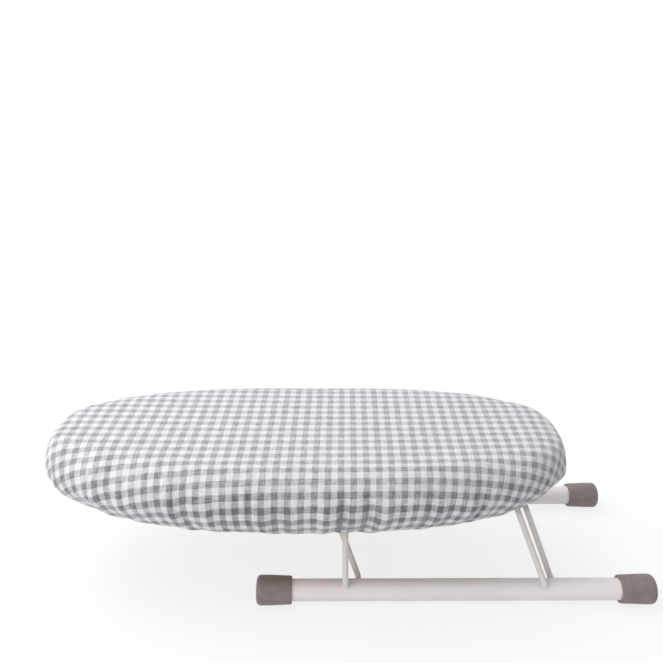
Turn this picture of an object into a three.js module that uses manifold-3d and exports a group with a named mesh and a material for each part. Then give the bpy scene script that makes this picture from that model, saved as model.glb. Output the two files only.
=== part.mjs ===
// Table-top ironing board: a padded oval board under a gingham cover, on two tubular feet
// that fold up lengthwise on bent wire legs. Millimetres, +Z up, +X along the board towards
// the end where the feet stick out, origin on the floor at the middle of the overall box.
import * as THREE from 'three';
import { mergeVertices } from 'three/addons/utils/BufferGeometryUtils.js';
import Module from 'manifold-3d';

const wasm = await Module();
wasm.setup();

// Board: cover, foam and panel
const BOARD_LENGTH = 500;
const BOARD_WIDTH = 200;
const OUTLINE_POWER = 2.4;
const LOWER_OUTLINE_POWER = 2.1;
const CLOTH = 1;
const CROWN_REACH = 14;
const CROWN_DROP = 30;
const TUCK_AT_ENDS = 24;
const TUCK_AT_SIDES = 20;
const TUCK_POWER = 1.4;
const PANEL_THICKNESS = 9;
const FOAM_OVER_PANEL = 47.4;
const HEM_REACH = 1.5;
const ELASTIC_WIDTH = 3;
const ELASTIC_THICKNESS = 1.6;

// Feet: tubes and end caps
const TUBE_DIAMETER = 20;
const TUBE_WALL = 1.2;
const FOOT_LENGTH = 371;
const FOOT_SPACING = 150;
const FOOT_PAST_BOARD = 75;
const CAP_DIAMETER = 27;
const CAP_MOUTH_DIAMETER = 25.6;
const CAP_LENGTH = 33;
const CAP_END_WALL = 5;
const CAP_DOME = 2;
const CAP_EDGE = 3;
const CAP_FLAT_DEPTH = 0.3;

// Legs and stays of bent wire
const WIRE_DIAMETER = 5.5;
const LEG_LEAN = THREE.MathUtils.degToRad(21);
const LEG_RISE = 61.8;
const LEG_TOP_HALF = 38;
const LEG_FOOT_INSET = 9;
const LEG_STUB = 5;
const LEG_BEND = 5;
const PIVOT_FROM_BOARD_END = 16.5;
const LEG_TO_LEG_LENGTH = 184;
const BAR_UNDER_FLANGE = 0.45;
const LEG_BAR_UNDER_STAY = 4;
const STAY_FOOT_OFFSET = 13;
const STAY_FOOT_ANGLE = THREE.MathUtils.degToRad(50);
const STAY_BEND = 8;
const LEFT_STAY_TOP_HALF = 58;
const RIGHT_STAY_TOP_HALF = 46;
const LEG_SADDLE_FROM_MIDDLE = 6;
const SADDLE_FROM_CORNER = 4;
const SADDLES_APART = 2;

// Saddles and their screws
const STRAP = 1.5;
const SADDLE_WIDTH = 10;
const STAY_FLANGE = 13;
const LEG_FLANGE = 22;
const SCREW_FROM_FLANGE_END = 5;
const SCREW_HEAD_DIAMETER = 7;
const SCREW_HEAD_HEIGHT = 2.2;
const SCREW_SHANK_DIAMETER = 3.5;
const SCREW_LENGTH = 8;
const SCREW_HEAD_ROUND = 1;

// Clearances
const SEAT = 0.3;
const RUNNING = 0.3;

// Facet counts
const OUTLINE_STEPS = 60;
const ROUND = 24;
const WIRE_SIDES = 12;
const BEND_STEPS = 5;
const CROWN_STEPS = 4;
const TUCK_STEPS = 4;

// Levels and stations that follow from the sizes above
const tubeRadius = TUBE_DIAMETER / 2;
const capRadius = CAP_DIAMETER / 2;
const wireRadius = WIRE_DIAMETER / 2;
const footLevel = capRadius - CAP_FLAT_DEPTH;
const legHinge = footLevel + LEG_RISE;
const stayHinge = legHinge + LEG_BAR_UNDER_STAY;
const panelBottom = stayHinge + wireRadius + BAR_UNDER_FLANGE + STRAP + SEAT;
const panelTop = panelBottom + PANEL_THICKNESS;
const coverTop = panelTop + SEAT + FOAM_OVER_PANEL + SEAT + CLOTH;
const coverBottom = panelBottom - SEAT - CLOTH;
const widestLevel = coverTop - CROWN_DROP;
const hemInset = SEAT + HEM_REACH;
const overallLength = BOARD_LENGTH + FOOT_PAST_BOARD;
const boardX = (BOARD_LENGTH - overallLength) / 2;
const footRight = overallLength / 2;
const footLeft = footRight - FOOT_LENGTH;
const footY = FOOT_SPACING / 2;
const rightPivot = footRight - FOOT_PAST_BOARD - PIVOT_FROM_BOARD_END;
const leftPivot = rightPivot - LEG_TO_LEG_LENGTH;
const legRun = LEG_RISE * Math.tan(LEG_LEAN);

const board = new THREE.Group();

function material(color, roughness, metalness = 0) {
  return new THREE.MeshStandardMaterial({ color, roughness, metalness });
}

// Signed volume of an indexed triangle mesh: positive when its faces point out.
function signedVolume(geometry) {
  const position = geometry.getAttribute('position');
  const index = geometry.getIndex();
  const a = new THREE.Vector3();
  const b = new THREE.Vector3();
  const c = new THREE.Vector3();
  let sum = 0;
  for (let i = 0; i < index.count; i += 3) {
    a.fromBufferAttribute(position, index.getX(i));
    b.fromBufferAttribute(position, index.getX(i + 1));
    c.fromBufferAttribute(position, index.getX(i + 2));
    sum += a.dot(b.cross(c)) / 6;
  }
  return sum;
}

// Position-only copy with shared corners merged and its faces turned outward.
function closed(geometry) {
  geometry.deleteAttribute('normal');
  geometry.deleteAttribute('uv');
  const merged = mergeVertices(geometry, 1e-4);
  if (signedVolume(merged) < 0) {
    const index = merged.getIndex();
    for (let i = 0; i < index.count; i += 3) {
      const first = index.getX(i);
      index.setX(i, index.getX(i + 1));
      index.setX(i + 1, first);
    }
  }
  return merged;
}

function solid(geometry) {
  const shape = closed(geometry);
  return new wasm.Manifold(new wasm.Mesh({
    numProp: 3,
    vertProperties: new Float32Array(shape.getAttribute('position').array),
    triVerts: new Uint32Array(shape.getIndex().array),
  }));
}

function fromSolid(body) {
  const mesh = body.getMesh();
  const geometry = new THREE.BufferGeometry();
  geometry.setAttribute('position', new THREE.BufferAttribute(mesh.vertProperties, 3));
  geometry.setIndex(new THREE.BufferAttribute(mesh.triVerts, 1));
  return geometry;
}

function add(name, geometry, look, parent = board) {
  const mesh = new THREE.Mesh(geometry, look);
  mesh.name = name;
  parent.add(mesh);
  return mesh;
}

// The pad's outline where it is widest, and the drawn-in outline of its underside.
const upperOutline = {
  halfLength: BOARD_LENGTH / 2,
  halfWidth: BOARD_WIDTH / 2,
  power: OUTLINE_POWER,
};
const lowerOutline = {
  halfLength: BOARD_LENGTH / 2 - TUCK_AT_ENDS,
  halfWidth: BOARD_WIDTH / 2 - TUCK_AT_SIDES,
  power: LOWER_OUTLINE_POWER,
};

// Point of the oval |x/a|^n + |y/b|^n = 1 at a turn, moved in along its normal by an inset.
function ovalPoint(outline, turn, inset) {
  const { halfLength, halfWidth, power } = outline;
  const c = Math.cos(turn);
  const s = Math.sin(turn);
  const x = halfLength * Math.sign(c) * Math.abs(c) ** (2 / power);
  const y = halfWidth * Math.sign(s) * Math.abs(s) ** (2 / power);
  const nx = Math.sign(c) * Math.abs(c) ** (2 - 2 / power) / halfLength;
  const ny = Math.sign(s) * Math.abs(s) ** (2 - 2 / power) / halfWidth;
  const length = Math.hypot(nx, ny);
  return [boardX + x - inset * nx / length, y - inset * ny / length];
}

// Point of a ring { inset, tuck, z }: a tuck of 0 is on the upper outline, 1 on the lower.
function ringPoint(ring, turn) {
  if (ring.pole) {
    return [boardX, 0, ring.z];
  }
  const upper = ovalPoint(upperOutline, turn, ring.inset);
  const lower = ovalPoint(lowerOutline, turn, ring.inset);
  const [x, y] = [0, 1].map((axis) => THREE.MathUtils.lerp(upper[axis], lower[axis], ring.tuck));
  return [x, y, ring.z];
}

// Solid swept round the board through a list of rings. A ring with pole true is the single
// point on the board's middle; with no poles the list closes on itself.
function ovalSolid(rings) {
  const points = [];
  const faces = [];
  const starts = rings.map((ring) => {
    const start = points.length / 3;
    const count = ring.pole ? 1 : OUTLINE_STEPS;
    for (let i = 0; i < count; i += 1) {
      points.push(...ringPoint(ring, i / OUTLINE_STEPS * 2 * Math.PI));
    }
    return start;
  });
  const bands = rings[0].pole ? rings.length - 1 : rings.length;
  for (let k = 0; k < bands; k += 1) {
    const m = (k + 1) % rings.length;
    for (let i = 0; i < OUTLINE_STEPS; i += 1) {
      const j = (i + 1) % OUTLINE_STEPS;
      if (!rings[k].pole) {
        const far = rings[m].pole ? starts[m] : starts[m] + j;
        faces.push(starts[k] + i, starts[k] + j, far);
      }
      if (!rings[m].pole) {
        const near = rings[k].pole ? starts[k] : starts[k] + i;
        faces.push(near, starts[m] + j, starts[m] + i);
      }
    }
  }
  const geometry = new THREE.BufferGeometry();
  geometry.setAttribute('position', new THREE.Float32BufferAttribute(points, 3));
  geometry.setIndex(faces);
  return closed(geometry);
}

// Rings of the pad's skin from the flat top over the crown and the tucked lower edge,
// lying a depth inside the cover's outer face.
function padRings(depth) {
  const rings = [];
  for (let k = 0; k <= CROWN_STEPS; k += 1) {
    const turn = (1 - k / CROWN_STEPS) * Math.PI / 2;
    const inset = CROWN_REACH - (CROWN_REACH - depth) * Math.cos(turn);
    rings.push({ inset, tuck: 0, z: widestLevel + (CROWN_DROP - depth) * Math.sin(turn) });
  }
  const tuckDrop = widestLevel - coverBottom;
  for (let k = 1; k <= TUCK_STEPS; k += 1) {
    const out = Math.cos(k / TUCK_STEPS * Math.PI / 2);
    const down = Math.sin(k / TUCK_STEPS * Math.PI / 2);
    rings.push({
      inset: depth * out,
      tuck: k === TUCK_STEPS ? 1 : 1 - out ** (2 / TUCK_POWER),
      z: widestLevel - tuckDrop * down ** (2 / TUCK_POWER) + depth * down,
    });
  }
  return rings;
}

// Wire bent round arcs at its corners; a station at each arc step and each end.
class BentWire extends THREE.Curve {
  constructor(corners, bend) {
    super();
    const last = corners.length - 1;
    this.stations = [];
    corners.forEach((corner, i) => {
      if (i === 0 || i === last) {
        const next = i === 0 ? corners[1] : corner;
        const before = i === 0 ? corner : corners[last - 1];
        this.stations.push({ point: corner, tangent: next.clone().sub(before).normalize() });
        return;
      }
      const into = corner.clone().sub(corners[i - 1]).normalize();
      const out = corners[i + 1].clone().sub(corner).normalize();
      const turn = into.angleTo(out);
      const reach = bend * Math.tan(turn / 2);
      const start = corner.clone().addScaledVector(into, -reach);
      const inward = out.clone().addScaledVector(into, -out.dot(into)).normalize();
      for (let k = 0; k <= BEND_STEPS; k += 1) {
        const angle = k / BEND_STEPS * turn;
        const point = start.clone().addScaledVector(into, bend * Math.sin(angle));
        point.addScaledVector(inward, bend * (1 - Math.cos(angle)));
        const tangent = into.clone().multiplyScalar(Math.cos(angle));
        tangent.addScaledVector(inward, Math.sin(angle));
        this.stations.push({ point, tangent });
      }
    });
  }

  get steps() {
    return this.stations.length - 1;
  }

  getPoint(t, target = new THREE.Vector3()) {
    return target.copy(this.stations[Math.round(t * this.steps)].point);
  }

  getPointAt(u, target) {
    return this.getPoint(u, target);
  }

  getTangentAt(u, target = new THREE.Vector3()) {
    return target.copy(this.stations[Math.round(u * this.steps)].tangent);
  }
}

function wireGeometry(corners, bend) {
  const path = new BentWire(corners, bend);
  const section = new THREE.Shape();
  section.absarc(0, 0, wireRadius, 0, 2 * Math.PI);
  return closed(new THREE.ExtrudeGeometry(section, {
    steps: path.steps,
    curveSegments: WIRE_SIDES / 2,
    extrudePath: path,
  }));
}

// Group whose own -Z runs down a leaning wire frame from its hinge.
function hingeGroup(x, z, lean) {
  const group = new THREE.Group();
  group.position.set(x, 0, z);
  group.rotation.y = -lean;
  board.add(group);
  return group;
}

// Round bar from a start point along +Y.
function barAlongY(radius, length) {
  const bar = new THREE.CylinderGeometry(radius, radius, length, ROUND);
  return bar.translate(0, length / 2, 0);
}

// Padded board
const white = material(0xf0eef4, 0.9);
const outer = padRings(0);
const inner = padRings(CLOTH);
add('cover', ovalSolid([
  { pole: true, z: coverTop },
  ...outer,
  { inset: hemInset, tuck: 1, z: coverBottom },
  { inset: hemInset, tuck: 1, z: coverBottom + CLOTH },
  ...inner.reverse(),
  { pole: true, z: coverTop - CLOTH },
]), white);

const foam = padRings(CLOTH + SEAT);
add('foam_pad', ovalSolid([
  { pole: true, z: coverTop - CLOTH - SEAT },
  ...foam,
  { inset: 0, tuck: 1, z: panelTop + SEAT },
  { pole: true, z: panelTop + SEAT },
]), material(0xe8e0c4, 0.95));

const elasticInset = hemInset + SEAT;
const elasticTop = panelBottom - SEAT;
const elasticBottom = elasticTop - ELASTIC_THICKNESS;
add('hem_elastic', ovalSolid([
  { inset: elasticInset, tuck: 1, z: elasticTop },
  { inset: elasticInset, tuck: 1, z: elasticBottom },
  { inset: elasticInset + ELASTIC_WIDTH, tuck: 1, z: elasticBottom },
  { inset: elasticInset + ELASTIC_WIDTH, tuck: 1, z: elasticTop },
]), material(0xf2f2f0, 0.85));

// Feet: tubes drilled for the leg stubs, with end caps
const tubeLook = material(0xdedad8, 0.35, 0.1);
const capLook = material(0x7d7270, 0.6);
const tubeStart = footLeft + CAP_END_WALL + SEAT;
const tubeLength = FOOT_LENGTH - 2 * (CAP_END_WALL + SEAT);

function tubeGeometry(side) {
  const bore = tubeRadius - TUBE_WALL;
  const profile = [[tubeRadius, 0], [tubeRadius, tubeLength], [bore, tubeLength], [bore, 0], [tubeRadius, 0]];
  const points = profile.map(([r, h]) => new THREE.Vector2(r, h));
  const wall = new THREE.LatheGeometry(points, ROUND);
  wall.rotateZ(-Math.PI / 2);
  let body = solid(wall.translate(tubeStart, side * footY, footLevel));
  for (const pivot of [leftPivot, rightPivot]) {
    const drill = barAlongY(wireRadius + RUNNING, tubeRadius + SEAT);
    drill.rotateZ(side > 0 ? Math.PI : 0);
    body = body.subtract(solid(drill.translate(pivot, side * footY, footLevel)));
  }
  return fromSolid(body);
}

function capGeometry() {
  const bore = tubeRadius + SEAT / 2;
  const profile = new THREE.Path();
  profile.moveTo(0, 0);
  profile.quadraticCurveTo((capRadius - CAP_EDGE) / 2, 0, capRadius - CAP_EDGE, CAP_DOME);
  profile.quadraticCurveTo(capRadius, CAP_DOME, capRadius, CAP_DOME + CAP_EDGE);
  profile.lineTo(CAP_MOUTH_DIAMETER / 2, CAP_LENGTH);
  profile.lineTo(bore, CAP_LENGTH);
  profile.lineTo(bore, CAP_END_WALL);
  profile.lineTo(0, CAP_END_WALL);
  const shell = new THREE.LatheGeometry(profile.getPoints(4), ROUND);
  shell.rotateZ(-Math.PI / 2);
  const floor = new THREE.BoxGeometry(2 * CAP_LENGTH, CAP_DIAMETER, CAP_DIAMETER);
  floor.translate(CAP_LENGTH / 2, 0, -footLevel - CAP_DIAMETER / 2);
  return fromSolid(solid(shell).subtract(solid(floor)));
}

for (const [end, side] of [['front', -1], ['rear', 1]]) {
  add(`${end}_foot_tube`, tubeGeometry(side), tubeLook.clone());
  const leftCap = add(`${end}_left_cap`, capGeometry(), capLook.clone());
  leftCap.position.set(footLeft, side * footY, footLevel);
  const rightCap = add(`${end}_right_cap`, capGeometry(), capLook.clone());
  rightCap.position.set(footRight, side * footY, footLevel);
  rightCap.rotation.z = Math.PI;
}

// Legs: one bent wire each, from a stub in the front tube over the hinge bar to the rear tube
const wireLook = material(0xdcd9d7, 0.4, 0.1);
const legLength = LEG_RISE / Math.cos(LEG_LEAN);
const legCornerY = footY - tubeRadius - LEG_FOOT_INSET;
const legTipY = footY - tubeRadius + LEG_STUB;
const legCorners = [
  [-legTipY, -legLength],
  [-legCornerY, -legLength],
  [-LEG_TOP_HALF, 0],
  [LEG_TOP_HALF, 0],
  [legCornerY, -legLength],
  [legTipY, -legLength],
].map(([y, z]) => new THREE.Vector3(0, y, z));

const leftLegX = leftPivot - legRun;
const rightLegX = rightPivot - legRun;
for (const [name, x] of [['left_leg_wire', leftLegX], ['right_leg_wire', rightLegX]]) {
  add(name, wireGeometry(legCorners, LEG_BEND), wireLook.clone(), hingeGroup(x, legHinge, LEG_LEAN));
}

// Stays: one bent wire each, hinged under the board, whose ends stand on the foot tubes.
// The left one stands upright and is held near its corners; the right one leans with the legs
// and is held beside the leg's own saddles.
const legSaddleY = LEG_SADDLE_FROM_MIDDLE + SADDLE_WIDTH / 2;
const leftStay = {
  lean: 0,
  topHalf: LEFT_STAY_TOP_HALF,
  saddleY: LEFT_STAY_TOP_HALF - SADDLE_FROM_CORNER - SADDLE_WIDTH / 2,
};
const rightStay = {
  lean: LEG_LEAN,
  topHalf: RIGHT_STAY_TOP_HALF,
  saddleY: legSaddleY + SADDLE_WIDTH + SADDLES_APART,
};
const stayGap = tubeRadius + SEAT + wireRadius;
const stayFootY = footY + stayGap * Math.cos(STAY_FOOT_ANGLE);
const stayFootLevel = footLevel + stayGap * Math.sin(STAY_FOOT_ANGLE);
const stayDrop = stayHinge - stayFootLevel;

function stayHingeX(stay, pivot) {
  return pivot - STAY_FOOT_OFFSET - stayDrop * Math.tan(stay.lean);
}

function stayCorners(stay) {
  const length = stayDrop / Math.cos(stay.lean);
  return [
    [-stayFootY, -length],
    [-stay.topHalf, 0],
    [stay.topHalf, 0],
    [stayFootY, -length],
  ].map(([y, z]) => new THREE.Vector3(0, y, z));
}

const leftStayX = stayHingeX(leftStay, leftPivot);
const rightStayX = stayHingeX(rightStay, rightPivot);
add('left_stay_wire', wireGeometry(stayCorners(leftStay), STAY_BEND), wireLook.clone(),
  hingeGroup(leftStayX, stayHinge, leftStay.lean));
add('right_stay_wire', wireGeometry(stayCorners(rightStay), STAY_BEND), wireLook.clone(),
  hingeGroup(rightStayX, stayHinge, rightStay.lean));

// Saddles: strap bent under a hinge bar, with a flange screwed to the panel on one side
const saddleLook = material(0xc9c9c6, 0.35, 0.8);
const screwLook = material(0xb8b8b4, 0.3, 0.9);
const slot = wireRadius + RUNNING;
const strapReach = slot + STRAP;

function saddleGeometry(drop, flange, facing) {
  const top = drop - SEAT;
  const shape = new THREE.Shape();
  shape.moveTo(strapReach + flange, top);
  shape.lineTo(strapReach + flange, top - STRAP);
  shape.lineTo(strapReach, top - STRAP);
  shape.lineTo(strapReach, 0);
  shape.absarc(0, 0, strapReach, 0, -Math.PI, true);
  shape.lineTo(-strapReach, top);
  shape.lineTo(-slot, top);
  shape.lineTo(-slot, 0);
  shape.absarc(0, 0, slot, -Math.PI, 0, false);
  shape.lineTo(slot, top);
  const screwX = strapReach + flange - SCREW_FROM_FLANGE_END;
  const strap = new THREE.ExtrudeGeometry(shape, {
    depth: SADDLE_WIDTH,
    bevelEnabled: false,
    curveSegments: ROUND / 3,
  });
  strap.rotateX(Math.PI / 2).translate(0, SADDLE_WIDTH / 2, 0);
  const drill = new THREE.CylinderGeometry(1, 1, 4 * STRAP, ROUND / 2);
  const wide = SCREW_SHANK_DIAMETER / 2 + RUNNING;
  drill.scale(wide, 1, wide).rotateX(Math.PI / 2).translate(screwX, 0, top);
  return fromSolid(solid(strap).subtract(solid(drill))).rotateZ(facing > 0 ? 0 : Math.PI);
}

function screwGeometry() {
  const head = SCREW_HEAD_DIAMETER / 2;
  const shank = SCREW_SHANK_DIAMETER / 2;
  const profile = new THREE.Path();
  profile.moveTo(0, 0);
  profile.lineTo(head - SCREW_HEAD_ROUND, 0);
  profile.quadraticCurveTo(head, 0, head, SCREW_HEAD_ROUND);
  profile.lineTo(head, SCREW_HEAD_HEIGHT);
  profile.lineTo(shank, SCREW_HEAD_HEIGHT);
  profile.lineTo(shank, SCREW_HEAD_HEIGHT + SCREW_LENGTH);
  profile.lineTo(0, SCREW_HEAD_HEIGHT + SCREW_LENGTH);
  return closed(new THREE.LatheGeometry(profile.getPoints(2), ROUND / 2).rotateX(Math.PI / 2));
}

const hinges = [
  { name: 'left_leg', x: leftLegX, z: legHinge, y: legSaddleY, flange: LEG_FLANGE, facing: -1 },
  { name: 'right_leg', x: rightLegX, z: legHinge, y: legSaddleY, flange: LEG_FLANGE, facing: -1 },
  { name: 'left_stay', x: leftStayX, z: stayHinge, y: leftStay.saddleY, flange: STAY_FLANGE, facing: 1 },
  { name: 'right_stay', x: rightStayX, z: stayHinge, y: rightStay.saddleY, flange: STAY_FLANGE, facing: -1 },
];

const panelRings = [
  { pole: true, z: panelTop },
  { inset: SEAT, tuck: 1, z: panelTop },
  { inset: SEAT, tuck: 1, z: panelBottom },
  { pole: true, z: panelBottom },
];
let panel = solid(ovalSolid(panelRings));
const screwStart = panelBottom - 2 * SEAT - STRAP - SCREW_HEAD_HEIGHT;
const screwTip = screwStart + SCREW_HEAD_HEIGHT + SCREW_LENGTH;
for (const hinge of hinges) {
  for (const [end, side] of [['front', -1], ['rear', 1]]) {
    const saddle = saddleGeometry(panelBottom - hinge.z, hinge.flange, hinge.facing);
    const seat = add(`${hinge.name}_${end}_saddle`, saddle, saddleLook.clone());
    seat.position.set(hinge.x, side * hinge.y, hinge.z);
    const screwX = hinge.x + hinge.facing * (strapReach + hinge.flange - SCREW_FROM_FLANGE_END);
    const screw = add(`${hinge.name}_${end}_screw`, screwGeometry(), screwLook.clone());
    screw.position.set(screwX, side * hinge.y, screwStart);
    const depth = screwTip + SEAT - panelBottom;
    const drill = new THREE.CylinderGeometry(1, 1, 2 * depth, ROUND / 2);
    const wide = SCREW_SHANK_DIAMETER / 2 + SEAT;
    drill.scale(wide, 1, wide).rotateX(Math.PI / 2).translate(screwX, side * hinge.y, panelBottom);
    panel = panel.subtract(solid(drill));
  }
}
add('board_panel', fromSolid(panel), material(0xb58e60, 0.75));

export default board;
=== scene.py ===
import bpy
import numpy as np
from mathutils import Matrix, Vector


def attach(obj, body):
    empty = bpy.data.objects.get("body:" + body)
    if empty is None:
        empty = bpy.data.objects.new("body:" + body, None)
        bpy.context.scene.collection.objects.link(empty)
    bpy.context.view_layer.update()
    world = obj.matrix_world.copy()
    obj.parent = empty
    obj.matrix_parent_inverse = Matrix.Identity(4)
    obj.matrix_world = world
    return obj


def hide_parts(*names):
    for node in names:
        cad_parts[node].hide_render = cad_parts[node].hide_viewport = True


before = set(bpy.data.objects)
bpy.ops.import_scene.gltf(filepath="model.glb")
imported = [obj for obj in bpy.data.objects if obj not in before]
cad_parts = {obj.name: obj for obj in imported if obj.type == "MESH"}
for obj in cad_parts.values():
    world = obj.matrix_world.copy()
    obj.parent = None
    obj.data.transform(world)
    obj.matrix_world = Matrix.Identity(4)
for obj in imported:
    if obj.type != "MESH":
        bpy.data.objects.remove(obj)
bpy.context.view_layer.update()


# Board panel: the stiff oval plate in the middle of the pad, cut from bare particle board.
# Its underside shows inside the cover's hem, so it has the mottled chips of pressed wood.
CHIPS_PER_METRE = 420.0
SANDING_PER_METRE = 1500.0
SANDING_DEPTH = 0.0002


def add_node(tree, kind, inputs=None, **fields):
    """One shader node. inputs gives its sockets by name or number, each a value or a socket."""
    new = tree.nodes.new(kind)
    for field, value in fields.items():
        setattr(new, field, value)
    for key, value in (inputs or {}).items():
        if isinstance(value, bpy.types.NodeSocket):
            tree.links.new(value, new.inputs[key])
        else:
            new.inputs[key].default_value = value
    return new


def new_finish(name, sockets):
    """A material with one Principled shader whose plain sockets are set from a dictionary."""
    finish = bpy.data.materials.new(name)
    finish.use_nodes = True
    shader = finish.node_tree.nodes["Principled BSDF"]
    for key, value in sockets.items():
        shader.inputs[key].default_value = value
    return finish, finish.node_tree, shader


def object_place(tree):
    """The point on the piece in metres, as Object coordinates."""
    return add_node(tree, "ShaderNodeTexCoord").outputs["Object"]


def noise(tree, place, scale, detail=3.0, roughness=0.55):
    """Noise value about 0.5 with a scale in cells per metre."""
    fields = {"Vector": place, "Scale": scale, "Detail": detail, "Roughness": roughness}
    return add_node(tree, "ShaderNodeTexNoise", fields).outputs["Fac"]


def ramp(tree, value, stops):
    """Colour by value through stops of (position, (r, g, b)) in linear colour."""
    new = add_node(tree, "ShaderNodeValToRGB", {"Fac": value})
    elements = new.color_ramp.elements
    while len(elements) < len(stops):
        elements.new(0.5)
    for element, (position, colour) in zip(elements, stops):
        element.position = position
        element.color = (*colour, 1.0)
    return new.outputs["Color"]


def raise_bump(tree, shader, height, depth, strength=1.0):
    """Bump of a height field whose full swing stands for a depth in metres."""
    fields = {"Height": height, "Distance": depth, "Strength": strength}
    bump = add_node(tree, "ShaderNodeBump", fields)
    tree.links.new(bump.outputs["Normal"], shader.inputs["Normal"])


particle_board, tree, shader = new_finish("particle_board", {"Roughness": 0.82})
place = object_place(tree)
chip_cells = {"Vector": place, "Scale": CHIPS_PER_METRE, "Randomness": 1.0}
chips = add_node(tree, "ShaderNodeTexVoronoi", chip_cells).outputs["Color"]
chip_tone = add_node(tree, "ShaderNodeSeparateColor", {"Color": chips}).outputs["Red"]
wood = ramp(tree, chip_tone, [
    (0.0, (0.235, 0.145, 0.070)),
    (0.45, (0.420, 0.285, 0.150)),
    (1.0, (0.560, 0.415, 0.250)),
])
tree.links.new(wood, shader.inputs["Base Color"])
raise_bump(tree, shader, noise(tree, place, SANDING_PER_METRE), SANDING_DEPTH)
panel_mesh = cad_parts["board_panel"].data
panel_mesh.materials.clear()
panel_mesh.materials.append(particle_board)


# Foam pad: a slab of open-cell foam over the panel that gives the board its soft rounded edge.
# It fills the cover from inside, wraps the panel's rim and is held only by the cover's pull.
BOARD_MIDDLE_X = -0.0375
TOP_LEVEL = 0.142
UNDER_LEVEL = 0.0827
WIDEST_LEVEL = 0.112
PANEL_TOP = 0.093
CROWN_REACH_FRONT, CROWN_REACH_REAR = 0.021, 0.009
CROWN_EXTRA_LEFT = 0.023
UPPER_OVAL = (0.250, 0.100, 2.4, 2.7)
LOWER_OVAL = (0.226, 0.080, 2.1, 2.1)
TUCK_POWER = 1.4
MIDDLE_SHARE = 0.03
FOAM_UNDER_CLOTH = 0.0040
FOAM_COLUMNS = 160
FOAM_ROWS = (10, 8, 8)
FOAM_SEAT = 0.0005
CELLS_PER_METRE = 900.0
CELL_DEPTH = 0.0006


def oval(shape, turn, inset):
    """Points x, y and outward normals of |x/a|^n + |y/b|^n = 1, moved in along the normal. The
    shape is a, b, and n of the front half and of the fuller rear half."""
    a, b, front, rear = shape
    c, s = np.cos(turn), np.sin(turn)
    n = np.where(s > 0, rear, front)
    x = a * np.sign(c) * np.abs(c) ** (2 / n)
    y = b * np.sign(s) * np.abs(s) ** (2 / n)
    nx = np.sign(c) * np.abs(c) ** (2 - 2 / n) / a
    ny = np.sign(s) * np.abs(s) ** (2 - 2 / n) / b
    size = np.hypot(nx, ny)
    nx, ny = nx / size, ny / size
    return BOARD_MIDDLE_X + x - inset * nx, y - inset * ny, nx, ny


def even_turns(count, finer_at=(), finer_reach=0.010):
    """Turns whose points lie at even steps of length round the upper oval, and three times as
    close within a reach of each given x of the front edge."""
    fine = np.linspace(0, 2 * np.pi, 4001)
    x, y, _, _ = oval(UPPER_OVAL, fine, 0.0)
    weight = np.hypot(np.diff(x), np.diff(y))
    for finer_x in finer_at:
        weight *= 1 + 2 * np.exp(-((x[1:] - finer_x) / finer_reach) ** 2) * (y[1:] < 0)
    length = np.concatenate([[0], np.cumsum(weight)])
    return np.interp(np.linspace(0, length[-1], count, endpoint=False), length, fine)


def pad_rows(turn, depth, top_rows, crown_rows, tuck_rows):
    """Rows of the pad's skin, a depth inside the solid's face, from near the middle to the rim
    of the underside. Top: the crown's start scaled towards the middle. Crown: a quarter ellipse
    out and down to the widest level, wider at the front than at the rear and widest at the front
    left. Tuck: from the upper to the lower oval along |out|^p + |down|^p = 1."""
    rear_share = (1 + np.sin(turn)) / 2
    front_left = np.clip(np.sin(2 * turn), 0, None) ** 2 * (np.cos(turn) < 0)
    reach = CROWN_REACH_FRONT + (CROWN_REACH_REAR - CROWN_REACH_FRONT) * rear_share
    reach = reach + CROWN_EXTRA_LEFT * front_left
    start_x, start_y, _, _ = oval(UPPER_OVAL, turn, reach)
    share = np.linspace(MIDDLE_SHARE, 1.0, top_rows)[:, None]
    top_x = BOARD_MIDDLE_X + (start_x - BOARD_MIDDLE_X) * share
    bands = [(top_x, start_y * share, TOP_LEVEL - depth)]
    angle = np.linspace(np.pi / 2, 0, crown_rows + 1)[1:, None]
    crown_x, crown_y, _, _ = oval(UPPER_OVAL, turn, reach - (reach - depth) * np.cos(angle))
    crown_z = WIDEST_LEVEL + (TOP_LEVEL - WIDEST_LEVEL - depth) * np.sin(angle)
    bands.append((crown_x, crown_y, crown_z))
    angle = np.linspace(0, np.pi / 2, tuck_rows + 1)[1:, None]
    out, down = np.cos(angle), np.sin(angle)
    upper_x, upper_y, _, _ = oval(UPPER_OVAL, turn, depth * out)
    lower_x, lower_y, _, _ = oval(LOWER_OVAL, turn, depth * out)
    tuck = 1 - np.maximum(out, 0.0) ** (2 / TUCK_POWER)
    fall = (WIDEST_LEVEL - UNDER_LEVEL) * down ** (2 / TUCK_POWER)
    tuck_x = upper_x + (lower_x - upper_x) * tuck
    tuck_y = upper_y + (lower_y - upper_y) * tuck
    bands.append((tuck_x, tuck_y, WIDEST_LEVEL - fall + depth * down))
    return np.concatenate([np.stack(np.broadcast_arrays(*band), axis=-1) for band in bands])


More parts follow.
